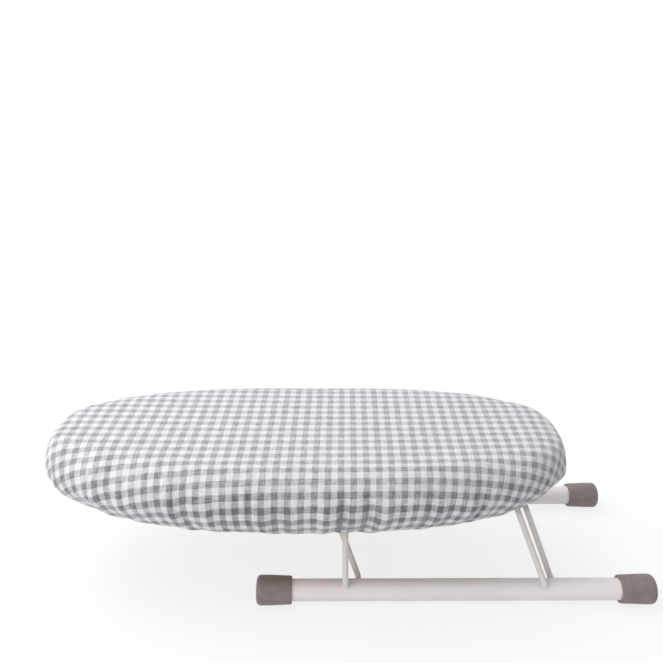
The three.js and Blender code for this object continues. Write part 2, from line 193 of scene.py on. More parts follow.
def skin(name, grid, close_start=True, close_end=True, close_rows=False):
    """Mesh object over a grid of points [row, column], its columns joined round. A closed start
    or end is a fan to the middle of that row; close_rows joins the last row to the first. Faces
    are turned outwards by the sign of the volume that they enclose."""
    rows, columns, _ = grid.shape
    points = grid.reshape(-1, 3)
    index = np.arange(rows * columns).reshape(rows, columns)
    if close_rows:
        index = np.concatenate([index, index[:1]])
    here, there = index[:-1], index[1:]
    quads = np.stack([here, np.roll(here, -1, 1), np.roll(there, -1, 1), there], axis=-1)
    quads = quads.reshape(-1, 4)
    a, b, c, d = (points[quads[:, k]] for k in range(4))
    volume = np.einsum("ij,ij->", a, np.cross(b, c)) + np.einsum("ij,ij->", a, np.cross(c, d))
    fans = np.empty((0, 3), dtype=int)
    for closed, row, flip in ((close_start, index[0], True), (close_end, index[-1], False)):
        if closed:
            pair = (np.roll(row, -1), row) if flip else (row, np.roll(row, -1))
            fan = np.stack([*pair, np.full(columns, len(points))], axis=-1)
            fans = np.concatenate([fans, fan])
            points = np.concatenate([points, points[row].mean(axis=0)[None]])
    if volume < 0:
        quads, fans = quads[:, ::-1], fans[:, ::-1]
    mesh = bpy.data.meshes.new(name)
    mesh.from_pydata(points.tolist(), [], quads.tolist() + fans.tolist())
    mesh.polygons.foreach_set("use_smooth", np.ones(len(quads) + len(fans), dtype=bool))
    mesh.update()
    piece = bpy.data.objects.new(name, mesh)
    bpy.context.collection.objects.link(piece)
    return piece


def place_piece(piece, finish, body, slot, *nodes):
    """Gives a piece its finish and the body that it moves with, and hides the nodes that it stands
    for. The slot is not used."""
    piece.data.materials.append(finish)
    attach(piece, body)
    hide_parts(*nodes)


foam_turns = even_turns(FOAM_COLUMNS)
foam_grid = pad_rows(foam_turns, FOAM_UNDER_CLOTH, *FOAM_ROWS)
seat_x, seat_y, _, _ = oval(LOWER_OVAL, foam_turns, 0.0)
seat_row = np.stack([seat_x, seat_y, np.full_like(seat_x, PANEL_TOP + FOAM_SEAT)], axis=-1)
foam_pad = skin("foam_pad_slab", np.concatenate([foam_grid, seat_row[None]]))

open_foam, tree, shader = new_finish("open_cell_foam", {"Roughness": 0.95})
foam_cells = {"Vector": object_place(tree), "Scale": CELLS_PER_METRE}
cells = add_node(tree, "ShaderNodeTexVoronoi", foam_cells).outputs["Distance"]
foam_colour = ramp(tree, cells, [(0.0, (0.62, 0.55, 0.36)), (0.5, (0.82, 0.76, 0.58))])
tree.links.new(foam_colour, shader.inputs["Base Color"])
raise_bump(tree, shader, cells, CELL_DEPTH)
place_piece(foam_pad, open_foam, "board", "foam", "foam_pad")


# Cover: one oval cut of grey and white gingham cotton, drawn over the foam and gathered under
# the board by a stitched hem. The checks run straight with the board on top and carry on down
# the sides; where the cut is too long for the rounded ends it falls into small gathers.
CHECK_PERIOD = 0.01133
HEM_REACH = 0.0018
GATHER_SWELL = 0.0022
GATHER_WAVES = ((31, 0.40, 0.3), (47, 0.35, 2.1), (19, 0.30, 4.0), (73, 0.20, 1.2))
SWELL_OUT, SWELL_DOWN = 0.75, 0.45
SWELL_ROW = 4
CREASES = ((-0.003, 0.0030), (0.019, 0.0020), (-0.085, 0.0014), (0.118, 0.0014))
CREASE_HALF_WIDTH = 0.0045
CLOTH_THICKNESS = 0.0007
COVER_COLUMNS = 290
TOP_ROWS, CROWN_ROWS, TUCK_ROWS = 13, 9, 9
SIM_FRAMES = 16
SIM_REACH = 0.0020
SIM_SMOOTHING = 8


def flat_cut(grid, turn, crown_row):
    """Where each point lay on the flat cloth: the top as it is, and past the crown's start out
    along the oval's normal by the length of cloth drawn over the edge, with the slip along the
    rim kept. Also returns the length drawn over the edge."""
    flat = grid[..., :2].copy()
    _, _, nx, ny = oval(UPPER_OVAL, turn, 0.0)
    normal, along = np.stack([nx, ny], axis=-1), np.stack([-ny, nx], axis=-1)
    step = np.diff(grid[crown_row:], axis=0, prepend=grid[crown_row:crown_row + 1])
    slip = np.sum(step[..., :2] * along, axis=-1)
    over = np.sqrt(np.maximum(np.sum(step * step, axis=-1) - slip ** 2, 0.0))
    drawn, slipped = np.cumsum(over, axis=0), np.cumsum(slip, axis=0)
    flat[crown_row:] = flat[crown_row] + drawn[..., None] * normal + slipped[..., None] * along
    return flat, np.concatenate([np.zeros((crown_row, grid.shape[1])), drawn])


def gathers(round_length, down):
    """Outward swell of the gathered edge: the sum of a few sines of unequal length round the
    rim, cut off below, times sin(pi down^0.8)^1.5, which grows down the tuck and fades again
    where the hem holds the cloth flat."""
    total = round_length[-1] + round_length[1]
    phase = 2 * np.pi * round_length / total
    wave = np.zeros_like(phase)
    for count, size, shift in GATHER_WAVES:
        wave += size * np.sin(count * phase + shift + 0.8 * np.sin(3 * phase + shift))
    sharp = np.clip(0.35 + wave, 0.0, None)
    return np.outer(np.sin(np.pi * np.clip(down, 0, 1) ** 0.8) ** 1.5, sharp)


def creases(edge, down):
    """Depth of the pinched creases on the front edge: a bell exp(-(x / half width)^2) across
    each one, times sin(pi down^0.7), which deepens from the crown and fades at the hem."""
    depth = np.zeros(len(edge))
    for crease_x, crease_depth in CREASES:
        bell = np.exp(-((edge[:, 0] - crease_x) / CREASE_HALF_WIDTH) ** 2)
        depth += crease_depth * bell * (edge[:, 1] < 0)
    return np.outer(np.sin(np.pi * np.clip(down, 0, 1) ** 0.7), depth)


def settle_cloth(grid, frames, reach):
    """Lets the cloth ease under the foam's push with its hem held, keeps each point within a
    reach of where it started, and evens its move out with its neighbours' round the rim."""
    rows, columns, _ = grid.shape
    loose = skin("loose_cloth", grid, close_end=False)
    held = loose.vertex_groups.new(name="held")
    held.add(list(range((rows - 2) * columns, rows * columns)), 1.0, "REPLACE")
    cloth = loose.modifiers.new("settle", "CLOTH")
    settings = cloth.settings
    settings.quality = 4
    settings.mass = 0.2
    settings.tension_stiffness = 25
    settings.compression_stiffness = 12
    settings.shear_stiffness = 6
    settings.bending_stiffness = 0.6
    settings.vertex_group_mass = "held"
    settings.use_pressure = True
    settings.uniform_pressure_force = 4.0
    settings.effector_weights.gravity = 0.0
    cloth.point_cache.frame_start = 1
    cloth.point_cache.frame_end = frames
    scene = bpy.context.scene
    for step in range(1, frames + 1):
        scene.frame_set(step)
    seen = loose.evaluated_get(bpy.context.evaluated_depsgraph_get())
    eased = np.empty(len(seen.data.vertices) * 3)
    seen.data.vertices.foreach_get("co", eased)
    bpy.data.objects.remove(loose)
    scene.frame_set(1)
    move = eased.reshape(-1, 3)[:rows * columns].reshape(grid.shape) - grid
    far = np.linalg.norm(move, axis=-1, keepdims=True)
    move = move * np.minimum(1.0, reach / np.maximum(far, 1e-9))
    for _ in range(SIM_SMOOTHING):
        move = (np.roll(move, 1, 1) + 2 * move + np.roll(move, -1, 1)) / 4
    return grid + move


def refine(grid):
    """Twice the rows and columns: each new point is (9b + 9c - a - d) / 16 of its neighbours
    a, b, c, d along the row or the column."""
    between = (9 * (grid + np.roll(grid, -1, 1)) - np.roll(grid, 1, 1) - np.roll(grid, -2, 1)) / 16
    wide = np.stack([grid, between], axis=2).reshape(len(grid), -1, grid.shape[2])
    longer = np.concatenate([2 * wide[:1] - wide[1:2], wide, 2 * wide[-1:] - wide[-2:-1]])
    fine = np.empty((2 * len(wide) - 1, *wide.shape[1:]))
    fine[0::2] = wide
    fine[1::2] = (9 * (longer[1:-2] + longer[2:-1]) - longer[:-3] - longer[3:]) / 16
    return fine


def lie_of_weave(points):
    """The cut's points moved by up to half a check, because the cloth was pulled on a little
    askew: each shift is a short polynomial in x and y, counted in checks."""
    x, y = points[:, 0], points[:, 1]
    columns = -0.157 + 0.41 * x - 2.4 * y + 11.0 * x * x - 10.0 * x * y
    rows = -0.30 * x - 0.80 * y - 5.4 * x * x + 14.0 * y * y + 16.0 * x * y
    return points + CHECK_PERIOD * np.stack([columns, rows], axis=-1)


cover_turns = even_turns(COVER_COLUMNS, [x for x, _ in CREASES])
cover_grid = pad_rows(cover_turns, 0.0, TOP_ROWS, CROWN_ROWS, TUCK_ROWS)
hem_x, hem_y, _, _ = oval(LOWER_OVAL, cover_turns, HEM_REACH)
hem_row = np.stack([hem_x, hem_y, np.full_like(hem_x, UNDER_LEVEL)], axis=-1)
cover_grid = np.concatenate([cover_grid, hem_row[None]])
cut, drawn_down = flat_cut(cover_grid, cover_turns, TOP_ROWS - 1)
rim = cover_grid[TOP_ROWS + CROWN_ROWS - 1]
rim_length = np.concatenate([[0], np.cumsum(np.linalg.norm(np.diff(rim, axis=0), axis=-1))])
swell_start = TOP_ROWS + SWELL_ROW
level_share = np.linspace(0, 1, len(cover_grid) - swell_start)
swell = GATHER_SWELL * gathers(rim_length, level_share) - creases(rim, level_share)
_, _, rim_nx, rim_ny = oval(UPPER_OVAL, cover_turns, 0.0)
lean_out = (SWELL_OUT * rim_nx, SWELL_OUT * rim_ny, np.full_like(rim_nx, -SWELL_DOWN))
cover_grid[swell_start:] += swell[..., None] * np.stack(lean_out, axis=-1)[None]
cover_grid = settle_cloth(cover_grid, SIM_FRAMES, SIM_REACH)
cover = skin("gingham_cover", refine(cover_grid), close_end=False)
ply = cover.modifiers.new("ply", "SOLIDIFY")
ply.thickness = CLOTH_THICKNESS
ply.offset = -1.0

rim_round = rim_length[-1] + np.linalg.norm(rim[0] - rim[-1])
rim_radius = rim_round / (2 * np.pi)
rim_turn = 2 * np.pi * rim_length / rim_round
rim_circle = (rim_radius * np.cos(rim_turn), rim_radius * np.sin(rim_turn), drawn_down)
rim_place = np.stack(np.broadcast_arrays(*rim_circle), axis=-1)
cut_points = np.concatenate([refine(cut).reshape(-1, 2), [[BOARD_MIDDLE_X, 0.0]]])
rim_points = np.concatenate([refine(rim_place).reshape(-1, 3), np.zeros((1, 3))])
hem_lengths = refine((drawn_down[-1] - drawn_down)[..., None]).reshape(-1)
corner = np.empty(len(cover.data.loops), dtype=np.int32)
cover.data.loops.foreach_get("vertex_index", corner)
cut_map = cover.data.uv_layers.new(name="flat_cut")
cut_map.data.foreach_set("uv", lie_of_weave(cut_points)[corner].astype(np.float32).reshape(-1))
rim_map = cover.data.attributes.new("round_rim", "FLOAT_VECTOR", "POINT")
rim_map.data.foreach_set("vector", rim_points.astype(np.float32).reshape(-1))
hem_map = cover.data.attributes.new("to_hem", "FLOAT", "POINT")
hem_map.data.foreach_set("value", np.append(hem_lengths, hem_lengths.max()).astype(np.float32))

YARN = 0.00045
STRIPE_EDGE = (0.295, 0.215)
SLUBS_PER_METRE, SLUB_STRETCH = 850.0, 0.14
FADES_PER_METRE = 45.0
FOLDS_PER_METRE, FOLD_STRETCH = 60.0, 0.22
FOLD_RANGE = (0.006, 0.034)
# Painted shade along the core of each crease, per metre of its depth; through the fold field it
# also deepens the crease's groove in the bump.
CREASE_SHADE = 100
# Painted light on the top and painted shade down the sides: the grey checks' tone on each, and the
# lengths to the hem between which it changes.
TOP_FROM_HEM, SIDE_FROM_HEM = 0.066, 0.036
TOP_PAINTED_LIGHT, SIDE_PAINTED_SHADE = 0.75, 1.08
# The last of these four is painted shade in the folds' hollows and painted light on their ridges;
# the first three are the cloth's own uneven tone and weave.
SLUB_TONE, FADE_TONE, WEAVE_TONE, FOLD_PAINTED_SHADE = 0.75, 0.25, 0.03, 0.8
STITCH_COUNT = 380
STITCH_ENDS = (0.34, 0.40)
SEAM_FROM_HEM = 0.009
THREAD_EDGE = (0.0002, 0.0005)
FOLD_HEIGHT, STITCH_HEIGHT, GRAIN_HEIGHT = 0.010, 0.0004, 0.00005
SLUB_GRAIN = 2.0
gingham, cloth_tree, shader = new_finish("gingham_cotton", {
    "Roughness": 0.92,
    "Sheen Weight": 0.70,
    "Sheen Roughness": 0.5,
    "Specular IOR Level": 0.25,
})


def spread(tree, value, low, high, low_out, high_out):
    """A value mapped in a straight line from low..high to low_out..high_out, and held there."""
    fields = {"Value": value, "From Min": low, "From Max": high}
    fields.update({"To Min": low_out, "To Max": high_out})
    return add_node(tree, "ShaderNodeMapRange", fields).outputs["Result"]


def worked(tree, kind, first, second=0.0):
    """One Math node of a kind, on one or two values."""
    return add_node(tree, "ShaderNodeMath", {0: first, 1: second}, operation=kind).outputs["Value"]


def times(first, second):
    """first * second on the cloth's tree."""
    return worked(cloth_tree, "MULTIPLY", first, second)


def plus(first, second):
    """first + second on the cloth's tree."""
    return worked(cloth_tree, "ADD", first, second)


def minus(first, second):
    """first - second on the cloth's tree."""
    return worked(cloth_tree, "SUBTRACT", first, second)


def apart(first, second):
    """|first - second| on the cloth's tree."""
    return worked(cloth_tree, "ABSOLUTE", minus(first, second))


def stripe(along):
    """1 in the grey half of each check period and 0 in the white half, with a soft yarn edge."""
    step = worked(cloth_tree, "FRACT", worked(cloth_tree, "DIVIDE", along, CHECK_PERIOD))
    return spread(cloth_tree, apart(step, 0.5), *STRIPE_EDGE, 0.0, 1.0)


def yarn(along):
    """A wave of one yarn's width across the cloth: sin(2 pi along / yarn)."""
    return worked(cloth_tree, "SINE", times(along, 2 * np.pi / YARN))


def stretched(place, factors):
    """A place multiplied axis by axis, so that noise on it is drawn out where a factor is small."""
    fields = {0: place, 1: factors}
    drawn_out = add_node(cloth_tree, "ShaderNodeVectorMath", fields, operation="MULTIPLY")
    return drawn_out.outputs["Vector"]


def slubs(factors):
    """Uneven thickness of the yarns of one direction, as noise drawn out along them."""
    return minus(noise(cloth_tree, stretched(cut_place, factors), SLUBS_PER_METRE, 2.0, 0.6), 0.5)


cut_place = add_node(cloth_tree, "ShaderNodeUVMap", uv_map="flat_cut").outputs["UV"]
cut_axes = add_node(cloth_tree, "ShaderNodeSeparateXYZ", {"Vector": cut_place}).outputs
rim_at = add_node(cloth_tree, "ShaderNodeAttribute", attribute_name="round_rim").outputs["Vector"]
rim_axes = add_node(cloth_tree, "ShaderNodeSeparateXYZ", {"Vector": rim_at}).outputs
from_hem = add_node(cloth_tree, "ShaderNodeAttribute", attribute_name="to_hem").outputs["Fac"]
grey_share = times(plus(stripe(cut_axes["X"]), stripe(cut_axes["Y"])), 0.5)
weave = times(yarn(cut_axes["X"]), yarn(cut_axes["Y"]))
slub = plus(slubs((SLUB_STRETCH, 1.0, 1.0)), slubs((1.0, SLUB_STRETCH, 1.0)))
fade = minus(noise(cloth_tree, cut_place, FADES_PER_METRE, 2.0), 0.5)
uneven = plus(times(slub, SLUB_TONE), times(fade, FADE_TONE))
fold_place = stretched(rim_at, (1.0, 1.0, FOLD_STRETCH))
folds = minus(noise(cloth_tree, fold_place, FOLDS_PER_METRE, 2.0, 0.45), 0.5)
crease_place = stretched(rim_at, (1.0, 1.0, 0.0))
# Each crease is cut into the fold field: a groove in the bump and a painted shade along its core.
for crease_x, crease_depth in CREASES:
    column = np.argmin(np.abs(rim[:, 0] - crease_x) + (rim[:, 1] > 0))
    between = {0: crease_place, 1: (*rim_place[0, column, :2].tolist(), 0.0)}
    off_line = add_node(cloth_tree, "ShaderNodeVectorMath", between, operation="DISTANCE")
    shade = (0.0, CREASE_HALF_WIDTH, CREASE_SHADE * crease_depth, 0.0)
    folds = minus(folds, spread(cloth_tree, off_line.outputs["Value"], *shade))
folds = times(folds, spread(cloth_tree, rim_axes["Z"], *FOLD_RANGE, 0.0, 1.0))
# Painted light and shade: the grey checks are made paler on the top and darker down the sides, as
# the light falls.
painted_top_light_side_shade = spread(cloth_tree, from_hem, TOP_FROM_HEM, SIDE_FROM_HEM, TOP_PAINTED_LIGHT, SIDE_PAINTED_SHADE)
# Painted shade in the folds' hollows and along the creases, and painted light on the folds' ridges.
checks_with_painted_light_and_shade = minus(times(grey_share, painted_top_light_side_shade), times(folds, FOLD_PAINTED_SHADE))
tone = plus(plus(checks_with_painted_light_and_shade, uneven), times(weave, WEAVE_TONE))
round_turn = worked(cloth_tree, "ARCTAN2", rim_axes["Y"], rim_axes["X"])
stitch_step = worked(cloth_tree, "FRACT", times(round_turn, STITCH_COUNT / (2 * np.pi)))
dash = spread(cloth_tree, apart(stitch_step, 0.5), *STITCH_ENDS, 1.0, 0.0)
thread = spread(cloth_tree, apart(from_hem, SEAM_FROM_HEM), *THREAD_EDGE, 1.0, 0.0)
stitch = times(dash, thread)
check_colour = ramp(cloth_tree, minus(tone, stitch), [
    (0.0, (0.745, 0.730, 0.770)),
    (0.5, (0.430, 0.415, 0.450)),
    (1.0, (0.150, 0.139, 0.158)),
])
cloth_tree.links.new(check_colour, shader.inputs["Base Color"])
grain = times(plus(weave, times(slub, SLUB_GRAIN)), GRAIN_HEIGHT)
relief = plus(times(folds, FOLD_HEIGHT), times(stitch, STITCH_HEIGHT))
raise_bump(cloth_tree, shader, plus(relief, grain), 1.0)
place_piece(cover, gingham, "board", "gingham_cloth", "cover")


# Hem elastic: a ribbed braid inside the hem that draws the cover in under the panel all round.
# It lies flat against the panel, just inside the cover's edge.
ELASTIC_INSET = 0.0021
ELASTIC_WIDTH, ELASTIC_HEIGHT = 0.003, 0.0016
ELASTIC_CORNER = 0.0006
ELASTIC_TOP = 0.0837
RIB_COUNT = 520
RIB_SWELL = 0.10
RIB_FLAT = 0.95
THREADS_PER_METRE, THREAD_DEPTH = 2500.0, 0.0001


def rounded_bar(width, height, corner, steps):
    """Outline of a bar's section, as offsets across and up: a small circle whose four quarters
    are moved out to the corners."""
    angle = np.linspace(0, 2 * np.pi, 4 * steps, endpoint=False) + np.pi / (4 * steps)
    across = (width / 2 - corner) * np.sign(np.cos(angle)) + corner * np.cos(angle)
    up = (height / 2 - corner) * np.sign(np.sin(angle)) + corner * np.sin(angle)
    return across, up


braid_turn = np.linspace(0, 2 * np.pi, 4 * RIB_COUNT, endpoint=False)
braid_across, braid_up = rounded_bar(ELASTIC_WIDTH, ELASTIC_HEIGHT, ELASTIC_CORNER, 3)
rib = 1.0 + RIB_SWELL * np.cos(braid_turn * RIB_COUNT)
braid_inset = ELASTIC_INSET + ELASTIC_WIDTH / 2
braid_x, braid_y, braid_nx, braid_ny = oval(LOWER_OVAL, braid_turn, braid_inset)
braid_grid = np.stack([
    braid_x[:, None] + braid_nx[:, None] * np.outer(rib, braid_across),
    braid_y[:, None] + braid_ny[:, None] * np.outer(rib, braid_across),
    ELASTIC_TOP - ELASTIC_HEIGHT / 2 + np.outer(rib, braid_up) * RIB_FLAT,
], axis=-1)
hem_elastic = skin("hem_elastic_braid", braid_grid, False, False, close_rows=True)

braid, tree, shader = new_finish("elastic_braid", {"Roughness": 0.85, "Sheen Weight": 0.1})
threads = noise(tree, object_place(tree), THREADS_PER_METRE)
braid_colour = ramp(tree, threads, [(0.3, (0.70, 0.70, 0.68)), (0.7, (0.88, 0.88, 0.86))])
tree.links.new(braid_colour, shader.inputs["Base Color"])
raise_bump(tree, shader, threads, THREAD_DEPTH)
place_piece(hem_elastic, braid, "board", "elastic", "hem_elastic")


# Saddles: zinc-plated steel strap bent round each hinge bar in a J, with one flange flat under
# the panel. Two hold each wire, and the wire turns in them.
PANEL_UNDER = 0.084
WIRE_RADIUS = 0.00275
STRAP = 0.0015
STRAP_WIDTH = 0.010
STRAP_CORNER = 0.0004
STRAP_BEND = 0.001
SHOULDER_END, TAIL_START = 0.0001, 0.0003
SEAT = 0.0003
LEG_HINGE = 0.075
STAY_HINGE = 0.079
CLOUDS_PER_METRE = 260.0
PLATING_PER_METRE, PLATING_DEPTH = 1800.0, 0.00003
# Each row: the hinge bar's x and level, the saddles' y, the flange's length and the way it faces.
HINGES = {
    "left_leg": (-0.0117228, LEG_HINGE, 0.011, 0.022, -1),
    "right_leg": (0.1722772, LEG_HINGE, 0.011, 0.022, -1),
    "left_stay": (-0.001, STAY_HINGE, 0.049, 0.013, 1),
    "right_stay": (0.1615792, STAY_HINGE, 0.023, 0.013, -1),
}


def bent_path(corners, bend, arc_steps, run_steps):
    """Points along straight runs joined by arcs of a bend radius at the corners: each arc starts
    bend * tan(turn / 2) before its corner."""
    corners = np.asarray(corners, dtype=float)
    stops = [corners[:1]]
    for before, corner, after in zip(corners[:-2], corners[1:-1], corners[2:]):
        into = (corner - before) / np.linalg.norm(corner - before)
        out = (after - corner) / np.linalg.norm(after - corner)
        turn = np.arccos(np.clip(into @ out, -1, 1))
        start = corner - into * bend * np.tan(turn / 2)
        inward = out - into * (out @ into)
        inward /= np.linalg.norm(inward)
        angle = np.linspace(0, turn, arc_steps)[:, None]
        stops.append(start + bend * (into * np.sin(angle) + inward * (1 - np.cos(angle))))
    stops.append(corners[-1:])
    pieces = [stops[0]]
    for earlier, later in zip(stops[:-1], stops[1:]):
        share = np.linspace(0, 1, run_steps + 1)[1:-1, None]
        pieces += [earlier[-1] + (later[0] - earlier[-1]) * share, later]
    return np.concatenate(pieces)


def swept(path, across, up, flat_normal):
    """A section carried along a path that lies in one plane: up is along the plane's normal and
    across is square to both it and the path."""
    ahead = np.gradient(path, axis=0)
    ahead /= np.linalg.norm(ahead, axis=1, keepdims=True)
    level = np.asarray(flat_normal, dtype=float)
    side = np.cross(level, ahead)
    return path[:, None] + side[:, None] * across[None, :, None] + level * up[None, :, None]


zinc, tree, shader = new_finish("zinc_plate", {"Metallic": 1.0})
place = object_place(tree)
clouds = noise(tree, place, CLOUDS_PER_METRE, 4.0)
plate_colour = ramp(tree, clouds, [(0.3, (0.50, 0.50, 0.49)), (0.7, (0.66, 0.66, 0.65))])
tree.links.new(plate_colour, shader.inputs["Base Color"])
tree.links.new(spread(tree, clouds, 0.3, 0.7, 0.42, 0.26), shader.inputs["Roughness"])
raise_bump(tree, shader, noise(tree, place, PLATING_PER_METRE), PLATING_DEPTH)

strap_across, strap_up = rounded_bar(STRAP, STRAP_WIDTH, STRAP_CORNER, 3)
strap_turn = WIRE_RADIUS + SEAT + STRAP / 2
strap_top = PANEL_UNDER - SEAT
cradle_angle = np.linspace(0, -np.pi, 15)
cradle = strap_turn * np.stack([np.cos(cradle_angle), np.sin(cradle_angle)], axis=-1)
for hinge, (x, z, y, flange, facing) in HINGES.items():
    flange_level = strap_top - STRAP / 2 - z
    shoulder = bent_path([
        [strap_turn + STRAP / 2 + flange, flange_level, 0],
        [strap_turn, flange_level, 0],
        [strap_turn, SHOULDER_END, 0],
    ], STRAP_BEND, 7, 6)[:, :2]
    tail_z = np.linspace(TAIL_START, strap_top - z, 4)
    tail = np.stack([np.full_like(tail_z, -strap_turn), tail_z], axis=-1)
    strap_x, strap_z = np.concatenate([shoulder, cradle, tail]).T
    for end, side in (("front", -1), ("rear", 1)):
        strap_y = np.full_like(strap_x, side * y)
        path = np.stack([x + facing * strap_x, strap_y, z + strap_z], axis=-1)
        saddle = skin(f"{hinge}_{end}_strap", swept(path, strap_across, strap_up, (0, 1, 0)))
        place_piece(saddle, zinc, "board", "zinc_strap", f"{hinge}_{end}_saddle")


# Screws: one zinc-plated pan-head screw through each saddle's flange, driven into the panel from
# below. Its head has a rounded edge and a cross recess.
HEAD_RADIUS = 0.0035
HEAD_HEIGHT = 0.0022
HEAD_CORNER = 0.001
HEAD_WALL = 0.0002
FACE_RINGS, CORNER_RINGS, SCREW_COLUMNS = 18, 5, 64
SHANK_RADIUS = 0.00175
SCREW_LENGTH = 0.008
POINT_LENGTH, POINT_RADIUS = 0.001, 0.0007
RECESS_DEPTH = 0.0011
SLOT_HALF_WIDTH, SLOT_HALF_LENGTH, SLOT_SLOPE = 0.00042, 0.0019, 0.0002
SCREW_FROM_EDGE = 0.005


def recess_slot(narrow, long):
    """1 on the floor of one slot of the cross and 0 outside it, with sloped walls between."""
    between_sides = np.clip((SLOT_HALF_WIDTH - np.abs(narrow)) / SLOT_SLOPE, 0, 1)
    return between_sides * np.clip((SLOT_HALF_LENGTH - np.abs(long)) / (2 * SLOT_SLOPE), 0, 1)


def screw_grid(x, y, head_face):
    """A lathe of head and shank about +Z, its face sunk where a cross of two slots lies."""
    corner = np.linspace(0.2, np.pi / 2, CORNER_RINGS)
    radius = np.concatenate([
        np.linspace(0.04, 1.0, FACE_RINGS) * (HEAD_RADIUS - HEAD_CORNER),
        HEAD_RADIUS - HEAD_CORNER + HEAD_CORNER * np.sin(corner),
        [HEAD_RADIUS, HEAD_RADIUS, SHANK_RADIUS, SHANK_RADIUS, POINT_RADIUS],
    ])
    tip = HEAD_HEIGHT + SCREW_LENGTH
    height = np.concatenate([
        np.zeros(FACE_RINGS),
        HEAD_CORNER * (1 - np.cos(corner)),
        [HEAD_HEIGHT - HEAD_WALL, HEAD_HEIGHT, HEAD_HEIGHT, tip - POINT_LENGTH, tip],
    ])
    angle = np.linspace(0, 2 * np.pi, SCREW_COLUMNS, endpoint=False)
    across, along = radius[:, None] * np.cos(angle), radius[:, None] * np.sin(angle)
    sunk = RECESS_DEPTH * np.maximum(recess_slot(across, along), recess_slot(along, across))
    face = (np.arange(len(radius)) < FACE_RINGS)[:, None]
    return np.stack([x + across, y + along, head_face + height[:, None] + sunk * face], axis=-1)


head_face = PANEL_UNDER - 2 * SEAT - STRAP - HEAD_HEIGHT
for hinge, (x, z, y, flange, facing) in HINGES.items():
    screw_x = x + facing * (WIRE_RADIUS + SEAT + STRAP + flange - SCREW_FROM_EDGE)
    for end, side in (("front", -1), ("rear", 1)):
        screw = skin(f"{hinge}_{end}_pan_screw", screw_grid(screw_x, side * y, head_face))
        place_piece(screw, zinc, "board", "zinc_screw", f"{hinge}_{end}_screw")


# Legs and stays: steel wire bent into one frame each and powder coated white. A leg runs from a
# stub in the front tube over its hinge bar to a stub in the rear tube; a stay's ends stand on
# the tubes.
FOOT_LEVEL = 0.0132
FOOT_Y = 0.075
TUBE_RADIUS = 0.010
LEG_LEAN = np.radians(21)
LEG_TOP_HALF = 0.038
LEG_BEND, STAY_BEND = 0.005, 0.008
STUB_OUTSIDE, STUB_INSIDE = 0.009, 0.005
STAY_REST = np.radians(50)
STAYS = (("left_stay", 0.058, 0.0), ("right_stay", 0.046, LEG_LEAN))
WIRE_COLUMNS = 28
TIP_ROUND = 0.0008
PEEL_PER_METRE, PEEL_DEPTH = 1400.0, 0.00004
DUST_PER_METRE = 30.0


def powder_coat(name, dusty, clean):
    """A sprayed and baked coat: a fine orange peel, and dust that dulls it in soft patches."""
    coat, tree, shader = new_finish(name, {"Specular IOR Level": 0.45})
    place = object_place(tree)
    peel = noise(tree, place, PEEL_PER_METRE, 2.0)
    dust = noise(tree, place, DUST_PER_METRE, 3.0)
    tree.links.new(ramp(tree, dust, [(0.3, dusty), (0.7, clean)]), shader.inputs["Base Color"])
    tree.links.new(spread(tree, dust, 0.3, 0.7, 0.46, 0.36), shader.inputs["Roughness"])
    raise_bump(tree, shader, peel, PEEL_DEPTH, 0.5)
    return coat


def round_wire(name, corners, bend, hinge_x, hinge_z, lean):
    """A round section along a bent path given as (y, drop) in a plane that leans about its
    hinge, with a rounded tip at each end."""
    down = np.array([np.sin(lean), 0.0, -np.cos(lean)])
    y, drop = np.array(corners).T
    path = np.array([hinge_x, 0.0, hinge_z]) + np.outer(y, [0.0, 1.0, 0.0]) + np.outer(drop, down)
    line = bent_path(path, bend, 12, 10)
    level = np.cross(down, [0.0, 1.0, 0.0])
    angle = np.linspace(0, 2 * np.pi, WIRE_COLUMNS, endpoint=False)
    grid = swept(line, WIRE_RADIUS * np.cos(angle), WIRE_RADIUS * np.sin(angle), level)
    tip_angle = np.linspace(0.15, np.pi / 2, 5)[:, None, None]
    tip_share = np.sin(tip_angle)
    tip_back = TIP_ROUND * (1 - np.cos(tip_angle))
    first = (line[1] - line[0]) / np.linalg.norm(line[1] - line[0])
    last = (line[-1] - line[-2]) / np.linalg.norm(line[-1] - line[-2])
    start = line[0] + (grid[0] - line[0])[None] * tip_share + first * tip_back
    end = line[-1] + (grid[-1] - line[-1])[None] * tip_share[::-1] - last * tip_back[::-1]
    return skin(name, np.concatenate([start, grid[1:-1], end]))


# The wires' coat is a darker copy of the tubes' white coat: its darkness is painted shade for wires
# that stand in the board's shadow.
wire_coat = powder_coat("wire_powder_coat", (0.680, 0.655, 0.640), (0.740, 0.716, 0.700))
leg_length = (LEG_HINGE - FOOT_LEVEL) / np.cos(LEG_LEAN)
leg_corner = FOOT_Y - TUBE_RADIUS - STUB_OUTSIDE
leg_tip = FOOT_Y - TUBE_RADIUS + STUB_INSIDE
leg_corners = [
    (-leg_tip, leg_length), (-leg_corner, leg_length), (-LEG_TOP_HALF, 0.0),
    (LEG_TOP_HALF, 0.0), (leg_corner, leg_length), (leg_tip, leg_length),
]
for hinge in ("left_leg", "right_leg"):
    leg = round_wire(f"{hinge}_bent_wire", leg_corners, LEG_BEND, *HINGES[hinge][:2], LEG_LEAN)
    place_piece(leg, wire_coat, hinge, "white_wire", f"{hinge}_wire")

stay_gap = TUBE_RADIUS + SEAT + WIRE_RADIUS
stay_foot = FOOT_Y + stay_gap * np.cos(STAY_REST)
stay_drop = STAY_HINGE - FOOT_LEVEL - stay_gap * np.sin(STAY_REST)
for hinge, top_half, lean in STAYS:
    length = stay_drop / np.cos(lean)
    stay_corners = [(-stay_foot, length), (-top_half, 0.0), (top_half, 0.0), (stay_foot, length)]
    stay = round_wire(f"{hinge}_bent_wire", stay_corners, STAY_BEND, *HINGES[hinge][:2], lean)
    place_piece(stay, wire_coat, hinge, "white_wire", f"{hinge}_wire")
